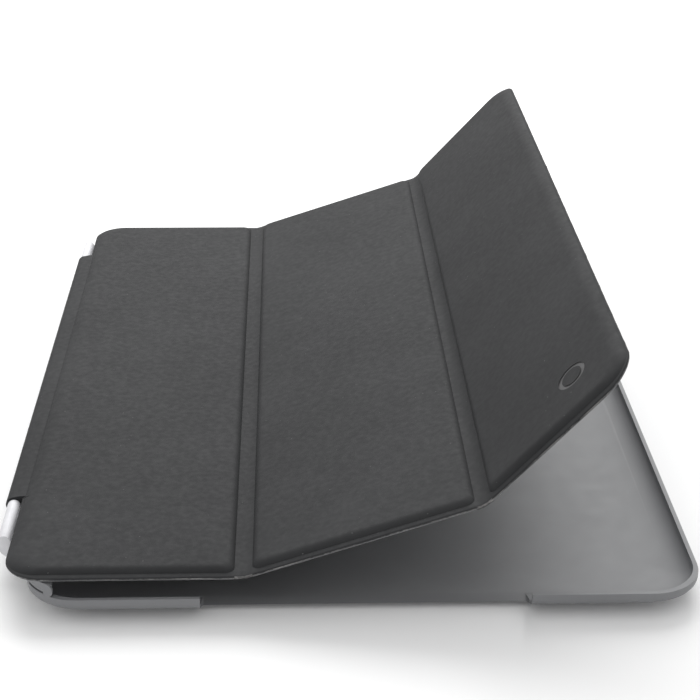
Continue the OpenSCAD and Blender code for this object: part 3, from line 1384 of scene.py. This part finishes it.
@dataclass
class HingeWrap(CasePart):
    """Skin that wraps the hinge barrel and runs on to the first panel."""

    barrel_r: float = 1.36 * MM
    barrel_facets: int = 64
    wrap_r: float = 1.85 * MM
    front: float = -66.0 * MM
    rear: float = 76.0 * MM
    past: float = 4 * MM
    facets: int = 40
    wrap_deg: Point2 = (90.0, 396.0)
    root: float = 0.10 * MM
    crown: tuple[Point2, ...] = (
        (1.4 * MM, -0.10 * MM), (1.35 * MM, 0.14 * MM), (0.9 * MM, 0.09 * MM),
        (0.4 * MM, 0.05 * MM), (-0.1 * MM, 0.03 * MM), (-0.7 * MM, 0.0), (-1.35 * MM, -0.10 * MM))
    smooth_deg: float = 40.0

    def section(self) -> list[Point2]:
        """Outside of the wrap: over the top, round the barrel and back under.

        Returns:
            Outline points as (x, z).
        """
        sizes = self.sizes
        top = sizes.fold_1.z + sizes.half_t
        low = sizes.fold_1.z - sizes.half_t
        crown = [(sizes.left + dx, top + dz) for dx, dz in self.crown]
        around = arc((sizes.swing.x, sizes.swing.z), self.wrap_r, *self.wrap_deg, self.facets)
        return crown + around + [(sizes.left, low), (sizes.left, top - self.root)]

    def make(self) -> None:
        """Build the wrap and let it ride with the first panel."""
        wrap = prism("barrel_wrap", self.section(), self.front, self.rear)
        with editing(wrap):
            face_outward()
        middle = (self.sizes.swing.x, (self.front + self.rear) / 2, self.sizes.swing.z)
        cut(wrap, rod(self.barrel_r, self.rear - self.front + self.past, middle,
                      self.barrel_facets, math.pi / 2))
        dress(wrap, self.finishes.skin)
        finish_mesh(wrap, self.smooth_deg)
        hand_over(wrap, "hinge_wrap", Slot.SKIN, Body.PANEL_1)


# ---------------------------------------------------------------- hinge bar


@dataclass
class HingeBar(CasePart):
    """Aluminium bar with a round back, a knuckle on top and a slim middle rail."""

    knuckle_r: float = 1.4 * MM
    knuckle_facets: int = 22
    back_r: float = 3.4 * MM
    back_dx: float = 1.9 * MM
    back_dz: float = -0.6 * MM
    back_facets: int = 26
    clear_r: float = 2.95 * MM
    clear_dx: float = 0.2 * MM
    clear_facets: int = 24
    room: float = 4.0 * MM
    gap: float = 0.25 * MM
    depth: float = 4.0 * MM
    corner: float = 0.4 * MM
    corner_facets: int = 5
    ease: float = 0.22 * MM
    ease_steps: tuple[Point2, ...] = ((0.3, 0.7), (0.7, 0.3))
    magnet_l: float = 12.0 * MM
    magnet_count: int = 3
    magnet_pitch: float = 14.0 * MM
    smooth_deg: float = 30.0

    def section(self, axis: Point2, face_x: float) -> list[Point2]:
        """Section of the bar's ends, from the flat face round the back.

        Args:
            axis: hinge axis as (x, z).
            face_x: x of the face against the tablet's side.

        Returns:
            Outline points as (x, z).
        """
        back = (axis[0] + self.back_dx, axis[1] + self.back_dz)
        start = 180.0 - math.degrees(math.asin(-self.back_dz / self.back_r))
        foot = (face_x - self.corner, axis[1] - self.depth + self.corner)
        return ([(face_x, axis[1])] + arc(axis, self.knuckle_r, 0.0, 180.0, self.knuckle_facets)
                + arc(back, self.back_r, start, 270.0, self.back_facets)
                + arc(foot, self.corner, 270.0, 360.0, self.corner_facets))

    def middle_tool(self, axis: Point2, front: float, rear: float) -> Object:
        """Body of the room that the wrapped barrel turns in.

        Args:
            axis: hinge axis as (x, z).
            front: front end of the room.
            rear: rear end of the room.

        Returns:
            New closed mesh object.
        """
        end = -math.degrees(math.acos(self.clear_dx / self.clear_r))
        inner = arc(axis, self.clear_r, 0.0, end, self.clear_facets)
        x, z = axis
        low, high = z - self.depth - self.room, z + self.room
        outer = [(x + self.clear_dx, low), (x - self.room, low), (x - self.room, high),
                 (x + self.clear_r, high)]
        return prism("room", inner + outer, front, rear)

    def make(self) -> None:
        """Build the bar and let it ride on its own body."""
        low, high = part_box("hinge_bar")
        axis = (self.sizes.swing.x, self.sizes.swing.z)
        bar = prism("aluminium_bar", self.section(axis, high.x), low.y + self.ease,
                    high.y - self.ease)
        with editing(bar):
            pick(bar, Element.FACE, lambda _c, n: abs(n.y) > FACING)
            bpy.ops.mesh.normals_make_consistent(inside=False)
            for side in SIDES:
                pick(bar, Element.FACE, lambda _c, n: n.y * side > FACING)
                for inward, out in self.ease_steps:
                    bpy.ops.mesh.inset(thickness=inward * self.ease, depth=out * self.ease)
        wrap_low, wrap_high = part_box("hinge_wrap")
        finish_mesh(bar, self.smooth_deg)
        cut(bar, self.middle_tool(axis, wrap_low.y - self.gap, wrap_high.y + self.gap))
        for node in ("bar_magnets_front", "bar_magnets_rear"):
            pocket_low, pocket_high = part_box(node)
            for i in range(self.magnet_count):
                start = pocket_low.y + i * self.magnet_pitch
                cut(bar, box_tool((pocket_low.x, start, pocket_low.z),
                                  (high.x + self.ease, start + self.magnet_l, pocket_high.z)))
        dress(bar, self.finishes.bar)
        finish_mesh(bar, self.smooth_deg)
        hand_over(bar, "hinge_bar", Slot.METAL, Body.BAR)


# ---------------------------------------------------------------- back shell


@dataclass
class BackShell:
    """Thin clip-on shell: shallow tray with openings and two corner claws."""

    finishes: Finishes
    wall: float = 0.9 * MM
    floor: float = 0.8 * MM
    corner: float = 11.05 * MM
    margin: float = 17.9 * MM
    belt: float = 5.0 * MM
    rim: float = 6.1 * MM
    inner_margin: float = 17.0 * MM
    inner_rise: float = 4.2 * MM
    rings: int = 16
    facets: int = 16
    flat_inset: float = 1.0 * MM
    glass: float = 8.0 * MM
    lip: float = 1.2 * MM
    claw_low: float = 5.9 * MM
    claw_x: float = 6.4 * MM
    claw_y: float = 11.0 * MM
    claw_facets: int = 48
    slit_low: float = 6.3 * MM
    slit_h: float = 0.5 * MM
    slit_back: float = 2 * MM
    slit_front: float = 1 * MM
    port_x: float = 33.0 * MM
    port_z: float = 1.6 * MM
    port_depth: float = 10.0 * MM
    port_round: float = 0.6 * MM
    notch_z: float = 2.2 * MM
    notch_depth: float = 7.0 * MM
    notch_round: float = 1.2 * MM
    side_notch: Point2 = (58.0 * MM, 88.0 * MM)
    end_notches: tuple[Point2, ...] = ((34.0 * MM, 48.0 * MM), (-58.0 * MM, -46.0 * MM))
    camera: Point3 = (55.5 * MM, 87.5 * MM, 0.0)
    camera_r: float = 5.0 * MM
    camera_depth: float = 12 * MM
    camera_facets: int = 64
    hinge_cut: Point2 = (-87.05 * MM, 91.55 * MM)
    hinge_cut_low: float = 3.3 * MM
    hinge_cut_depth: float = 8.0 * MM
    past: float = 3.0 * MM
    smooth_deg: float = 32.0
    half: Vector = field(init=False)
    top: float = field(init=False)

    def __post_init__(self) -> None:
        """Read the shell's outline and the height of its claws."""
        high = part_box("back_shell")[1]
        self.half = Vector((high.x, high.y, 0.0))
        self.top = high.z

    def outline(self, half: Vector, z: float, inset: float = 0.0) -> Rect:
        """Outline of the tray at a height, pulled in all round."""
        return Rect(-half.x + inset, half.x - inset, -half.y + inset, half.y - inset, z)

    def curve(self, half: Vector, margin: float, low: float, rise: float) -> list[Rect]:
        """Levels of a quarter-ellipse margin, from its top down.

        Args:
            half: half sizes of the outline at the top.
            margin: width of the curve.
            low: height of its foot.
            rise: height of the curve.

        Returns:
            Levels from the top down, with one more on the flat.
        """
        turns = [math.pi / 2 * (1 - i / self.rings) for i in range(self.rings + 1)]
        levels = [self.outline(half, low + rise * (1 - math.cos(t)), margin * (1 - math.sin(t)))
                  for t in turns]
        return levels + [levels[-1].inset(self.flat_inset)]

    def plate(self, name: str, flat: Rect, corner: float) -> Object:
        """Flat face with the same radius at all its corners."""
        return rounded_plane(name, flat, lambda _p: corner, self.facets)

    def slab(self, inset: float, low: float, high: float) -> Object:
        """Slab with the tray's outline, pulled in, between two heights."""
        flat = self.outline(self.half, low, inset)
        return thicken(self.plate("slab", flat, self.corner - inset), high - low)

    def tray(self) -> Object:
        """Shallow tray without its openings.

        Returns:
            New closed mesh object.
        """
        top = self.outline(self.half, self.rim)
        obj = self.plate("clip_on_shell", top, self.corner)
        stack(obj, [top] + self.curve(self.half, self.margin, 0.0, self.belt))
        inner_half = self.half - Vector((self.wall, self.wall, 0.0))
        inner = [top, self.outline(inner_half, self.rim)]
        inner += self.curve(inner_half, self.inner_margin, self.floor, self.inner_rise)
        with editing(obj):
            face_outward()
            pick(obj, Element.FACE, lambda c, n: n.z > FACING and c.z > self.rim - HAIR)
            for old, new in zip(inner, inner[1:]):
                next_level(old, new)
        return obj

    def along_y(self, side: int, inner: float) -> list[float]:
        """Lowest and highest y from past the shell's end in to a depth."""
        return sorted((side * (self.half.y + self.past), side * (self.half.y - inner)))

    def claw(self, side: int) -> Object:
        """Claw that hooks over the glass at one hinge-side corner.

        Args:
            side: -1 front, 1 rear.

        Returns:
            New closed mesh object.
        """
        top, low = self.top, self.claw_low
        outside, under = -self.half.x - self.past, low - self.past
        end_r = (top - low) / 2 - HAIR
        tip_x = -self.half.x + self.claw_x - end_r
        near, far = self.along_y(side, self.claw_y)
        region = box_tool((outside, near, under), (tip_x, far, top + self.past))
        near, far = self.along_y(side, self.corner)
        tip = rod(end_r, far - near, (tip_x, (near + far) / 2, low + (top - low) / 2),
                  self.claw_facets, math.pi / 2)
        cut(region, tip, Boolean.ADD)
        body = self.slab(HAIR, low, top)
        cut(body, region, Boolean.KEEP)
        cut(body, self.slab(self.wall, under, self.glass))
        cut(body, self.slab(self.wall + self.lip, under, top + self.past))
        wall = self.slit_front if side < 0 else self.wall
        near, far = self.along_y(side, wall + self.corner / 2)
        cut(body, box_tool((outside, near, self.slit_low),
                           (-self.half.x + self.claw_x - self.slit_back, far,
                            self.slit_low + self.slit_h)))
        return body

    def openings(self) -> Iterator[Object]:
        """Bodies of the shell's openings, one after another.

        Returns:
            Iterator over new closed mesh objects.
        """
        half, past, deep, edge = self.half, self.past, self.notch_depth, self.notch_round
        over = self.rim + past
        yield box_tool((-self.port_x, -half.y - past, self.port_z),
                       (self.port_x, -half.y + self.port_depth, over), self.port_round, 1)
        yield box_tool((half.x - deep, self.side_notch[0], self.notch_z),
                       (half.x + past, self.side_notch[1], over + edge), edge, 0)
        for x_low, x_high in self.end_notches:
            yield box_tool((x_low, half.y - deep, self.notch_z),
                           (x_high, half.y + past, over + edge), edge, 1)
        yield rod(self.camera_r, self.camera_depth, self.camera, self.camera_facets)
        front, rear = self.hinge_cut
        yield box_tool((-half.x - past, front, self.hinge_cut_low),
                       (-half.x + self.hinge_cut_depth, rear, over))

    def make(self) -> None:
        """Build the shell and let it ride on the tray body."""
        shell = self.tray()
        finish_mesh(shell)
        for tool in self.openings():
            cut(shell, tool)
        for side in (-1, 1):
            cut(shell, self.claw(side), Boolean.ADD)
        dress(shell, self.finishes.shell)
        finish_mesh(shell, self.smooth_deg)
        hand_over(shell, "back_shell", Slot.SHELL, Body.TRAY)


# ---------------------------------------------------------------- whole case


@dataclass
class FoldingCover(CasePart):
    """Three panels, two fold strips and the wrap of the folding cover."""

    hinge_margin: float = 0.35 * MM
    hinge_board: float = 2.0 * MM
    hinge_slope: float = 3.4 * MM
    free_margin: float = 0.45 * MM
    free_board: float = 2.4 * MM
    free_slope: float = 3.1 * MM
    ring_at: Point2 = (27.5 * MM, -85.0 * MM)
    ring_r: float = 3.5 * MM
    ring_line: float = 1.0 * MM
    ring_depth: float = 0.16 * MM
    ring_facets: int = 72
    slit_back: float = 0.6 * MM
    slit_reach: float = 1.7 * MM
    slit_from: float = 0.12 * MM
    slit_to: float = 0.55 * MM
    slit_slant: float = 1.05 * MM
    slit_point: float = 0.06
    slit_z: Point2 = (0.05 * MM, 1.6 * MM)

    def ring_tool(self) -> Object:
        """Flat ring that debosses a plain mark near the free corner.

        Returns:
            New closed mesh object, in the third panel's frame.
        """
        obj = rod(self.ring_r, 2 * self.ring_depth,
                  (*self.ring_at, self.sizes.half_t + self.sizes.rise), self.ring_facets)
        bpy.ops.object.transform_apply(location=True, rotation=True, scale=True)
        with editing(obj):
            pick(obj, Element.FACE, lambda _c, n: abs(n.z) > FACING)
            bpy.ops.mesh.inset(thickness=self.ring_line, use_individual=True)
            bpy.ops.mesh.bridge_edge_loops()
        return obj

    def slit_tool(self, y: float) -> Object:
        """Slanted wedge that parts the first panel's margin from the wrap's end.

        Args:
            y: front end of the wrap.

        Returns:
            New closed mesh object, in the first panel's frame.
        """
        left, (z_low, z_high) = self.sizes.hinge_edge, self.slit_z
        reach = left + self.slit_reach
        tool = box_tool((left - self.slit_back, y - self.slit_to, z_low),
                        (reach, y - self.slit_from, z_high))
        with editing(tool):
            pick(tool, Element.FACE, lambda _c, n: n.x > FACING)
            bpy.ops.transform.resize(value=(1.0, self.slit_point, 1.0),
                                     center_override=(reach, y - self.slit_slant, 0.0))
        return tool

    def make(self) -> None:
        """Build all pieces of the cover."""
        s, f = self.sizes, self.finishes
        wrap = HingeWrap(s, f)
        first = CoverPanel(s, f, 1, Body.PANEL_1, s.hinge_edge, -s.web_half, False, True,
                           margin_left=self.hinge_margin, board_left=self.hinge_board,
                           slope_left=self.hinge_slope)
        second = CoverPanel(s, f, 2, Body.PANEL_2, s.web_half, s.span_2 - s.web_half, True, True)
        third = CoverPanel(s, f, 3, Body.PANEL_3, s.web_half, s.span_3, True, False,
                           margin_right=self.free_margin, board_right=self.free_board,
                           slope_right=self.free_slope, rubbed=True)
        first.make((self.slit_tool(wrap.front),))
        second.make()
        third.make((self.ring_tool(),), f.press)
        FoldStrip(s, f, 1, s.tilt_1).make(Body.PANEL_1, Body.PANEL_2)
        FoldStrip(s, f, 2, s.tilt_2).make(Body.PANEL_2, Body.PANEL_3)
        wrap.make()


def dress_inner_parts(frame: dict, finishes: Finishes) -> None:
    """Give every kept part of the model its own finish.

    Args:
        finishes: all finishes.
    """
    looks = {
        finishes.magnet: ("bar_magnets_front", "bar_magnets_rear", "latch_magnets",
                          "wake_magnet"),
        finishes.pad: ("contact_pad",),
        finishes.steel: ("hinge_pin_front", "hinge_pin_rear", "keeper_strip"),
        finishes.barrel: ("hinge_barrel",),
        finishes.board: ("board_panel_1", "board_panel_2", "board_panel_3")}
    for material, nodes in looks.items():
        for node in nodes:
            dress_node(frame, node, material)


@dataclass(frozen=True)
class Lamp:
    """Square soft light: name, place in metres, side in metres and power in watts."""

    name: str
    at: Point3
    size: float
    power: float

    def hang(self) -> None:
        """Add the light, aimed at the case."""
        data = bpy.data.lights.new(self.name, "AREA")
        data.size = self.size
        data.energy = self.power
        light = bpy.data.objects.new(self.name, data)
        light.location = self.at
        light.rotation_euler = (-Vector(self.at)).to_track_quat("-Z", "Y").to_euler()
        bpy.context.scene.collection.objects.link(light)


@dataclass
class Studio:
    """Pale floor, soft lights and the camera."""

    camera_at: Point3 = (-15.104 * MM, -386.528 * MM, 189.940 * MM)
    yaw_deg: float = 2.265
    pitch_deg: float = 24.474
    roll_deg: float = 0.563
    lens_mm: float = 87.35
    sensor_mm: float = 36.0
    clip_start: float = 0.01
    floor_size: float = 6.0
    floor_at: Point3 = (0.0, 0.0, -0.02 * MM)
    floor_colour: Point3 = (0.93, 0.93, 0.93)
    floor_paler: float = 0.01
    floor_cloud: Grain = Grain(3.0, 2.0)
    floor_span: Point2 = (0.3, 0.7)
    floor_roughness: float = 0.9
    lamps: tuple[Lamp, ...] = (Lamp("key", (-0.03, 0.85, 0.80), 1.0, 13.0),
                               Lamp("front_fill", (-0.4, -1.1, 0.9), 1.0, 1.5))
    sky_colour: tuple[float, ...] = (1.0, 1.0, 1.0, 1.0)
    sky: float = 0.80

    def make(self) -> None:
        """Set up the camera, the floor, the lights and the world."""
        self.set_camera()
        self.lay_floor()
        for lamp in self.lamps:
            lamp.hang()
        world = bpy.data.worlds.new("studio")
        bpy.context.scene.world = world
        world.use_nodes = True
        background = world.node_tree.nodes["Background"]
        background.inputs["Color"].default_value = self.sky_colour
        background.inputs["Strength"].default_value = self.sky
        bpy.context.scene.view_settings.view_transform = "Standard"

    def set_camera(self) -> None:
        """Place the camera and make it the scene's camera."""
        yaw, pitch, roll = (math.radians(v) for v in (self.yaw_deg, self.pitch_deg, self.roll_deg))
        forward = Vector((math.sin(yaw) * math.cos(pitch), math.cos(yaw) * math.cos(pitch),
                          -math.sin(pitch)))
        level = Vector((math.cos(yaw), -math.sin(yaw), 0.0))
        upright = level.cross(forward)
        right = math.cos(roll) * level + math.sin(roll) * upright
        up = -math.sin(roll) * level + math.cos(roll) * upright
        turn = Matrix((right, up, -forward)).transposed()
        data = bpy.data.cameras.new("view")
        data.sensor_width = self.sensor_mm
        data.lens = self.lens_mm
        data.clip_start = self.clip_start
        camera = bpy.data.objects.new("view", data)
        camera.matrix_world = Matrix.Translation(Vector(self.camera_at)) @ turn.to_4x4()
        bpy.context.scene.collection.objects.link(camera)
        bpy.context.scene.camera = camera

    def lay_floor(self) -> None:
        """Lay a pale matte floor under the shell."""
        bpy.ops.object.select_all(action="DESELECT")
        bpy.ops.mesh.primitive_plane_add(size=self.floor_size, location=self.floor_at)
        floor = bpy.context.object
        floor.name = "floor"
        sheet = NodeSheet("pale_floor")
        paler = tuple(c + self.floor_paler for c in self.floor_colour)
        sheet.drive(Base_Color=sheet.shade(sheet.noise(self.floor_cloud), self.floor_span,
                                           self.floor_colour, paler))
        sheet.set(Roughness=self.floor_roughness)
        dress(floor, sheet.material)


def write_sizes() -> None:
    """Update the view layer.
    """
    bpy.context.view_layer.update()


def main() -> None:
    """Build the whole case and log each piece."""
    logging.basicConfig(level=logging.INFO, format="%(name)s: %(message)s")
    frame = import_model()
    finishes = Finishes()
    sizes = CaseSizes.read(frame)
    Studio().make()
    dress_inner_parts(frame, finishes)
    FoldingCover(sizes, finishes).make()
    HingeBar(sizes, finishes).make()
    BackShell(finishes).make()
    write_sizes()


if __name__ == "__main__":
    main()
